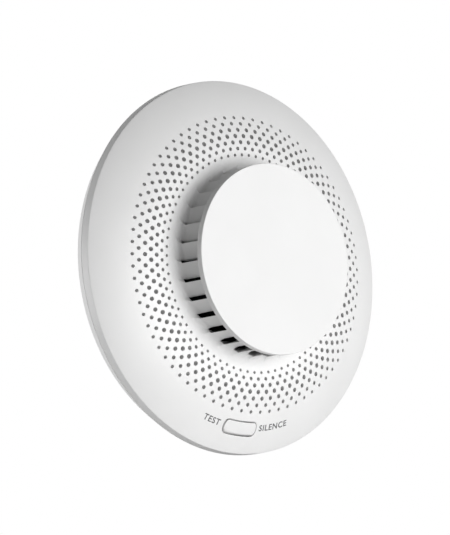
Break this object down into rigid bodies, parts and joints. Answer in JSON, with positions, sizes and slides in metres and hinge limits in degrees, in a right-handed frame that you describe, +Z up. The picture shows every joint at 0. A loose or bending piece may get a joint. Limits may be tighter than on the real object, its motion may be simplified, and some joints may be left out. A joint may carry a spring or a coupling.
{
  "type": "smoke detector",
  "caption": "Round wall-mounted smoke detector with a dished perforated face, a raised disc on a slotted neck, a test button and a twist-on wall bracket.",
  "frame": {"origin": "centre of the wall bracket's back face, on the wall", "axes": "+Y into the wall, so the face looks along -Y; +Z up with the test button straight below the centre; +X to the right as seen from the front"},
  "size_m": [0.12, 0.0303, 0.12],
  "materials": {
    "white_plastic": "satin white moulded plastic",
    "bracket_plastic": "plain off-white moulded plastic",
    "chamber_plastic": "matt black",
    "screen_metal": "darkened woven mesh",
    "board": "green solder mask",
    "screw_steel": "zinc plated",
    "contact_steel": "bright nickel plated",
    "sounder_brass": "plain",
    "sounder_ceramic": "silvered ceramic",
    "cell_jacket": "can in a plain dark sleeve with no marks",
    "capacitor_sleeve": "plain sleeve with no marks",
    "black_plastic": "plain black",
    "plunger_plastic": "plain",
    "clear_epoxy": "clear moulded epoxy",
    "emitter_epoxy": "blue tinted epoxy",
    "lead_red": "insulated wire",
    "lead_black": "insulated wire"
  },
  "bodies": {
    "bracket": {"mounting_bracket": "bracket_plastic"},
    "head": {"front_cover": "white_plastic", "front_cap": "white_plastic", "rear_housing": "white_plastic", "case_screw_1": "screw_steel", "case_screw_2": "screw_steel", "case_screw_3": "screw_steel", "case_screw_4": "screw_steel", "board_screw_1": "screw_steel", "board_screw_2": "screw_steel", "board_screw_3": "screw_steel", "circuit_board": "board", "controller_chip": "black_plastic", "capacitor": "capacitor_sleeve", "status_led": "clear_epoxy", "tact_switch_body": "black_plastic", "insect_screen": "screen_metal", "chamber_base": "chamber_plastic", "chamber_lid": "chamber_plastic", "infrared_emitter": "emitter_epoxy", "photodiode": "black_plastic", "sounder_cup": "black_plastic", "sounder_disc": "sounder_brass", "sounder_ceramic": "sounder_ceramic", "sounder_lead_red": "lead_red", "sounder_lead_black": "lead_black", "cell_left": "cell_jacket", "cell_right": "cell_jacket", "flat_contact_left": "contact_steel", "flat_contact_right": "contact_steel", "spring_contact_left": "contact_steel", "spring_contact_right": "contact_steel"},
    "test_button": {"test_button": "white_plastic", "tact_switch_plunger": "plunger_plastic"},
    "battery_door_left": {"battery_door_left": "white_plastic"},
    "battery_door_right": {"battery_door_right": "white_plastic"}
  },
  "joints": [
    {"name": "head_twist", "type": "hinge", "parent": "bracket", "child": "head", "pos_m": [0, 0, 0], "axis": [0, -1, 0], "range_deg": [0, 15]},
    {"name": "button_press", "type": "slide", "parent": "head", "child": "test_button", "axis": [0, 1, 0], "range_m": [0, 0.0005], "stiffness_N_per_m": 1500, "springref_m": -0.0004},
    {"name": "battery_door_left_hinge", "type": "hinge", "parent": "head", "child": "battery_door_left", "pos_m": [-0.041, -0.00125, 0.02465], "axis": [1, 0, 0], "range_deg": [0, 75]},
    {"name": "battery_door_right_hinge", "type": "hinge", "parent": "head", "child": "battery_door_right", "pos_m": [0.041, -0.00125, 0.02465], "axis": [1, 0, 0], "range_deg": [0, 75]}
  ]
}
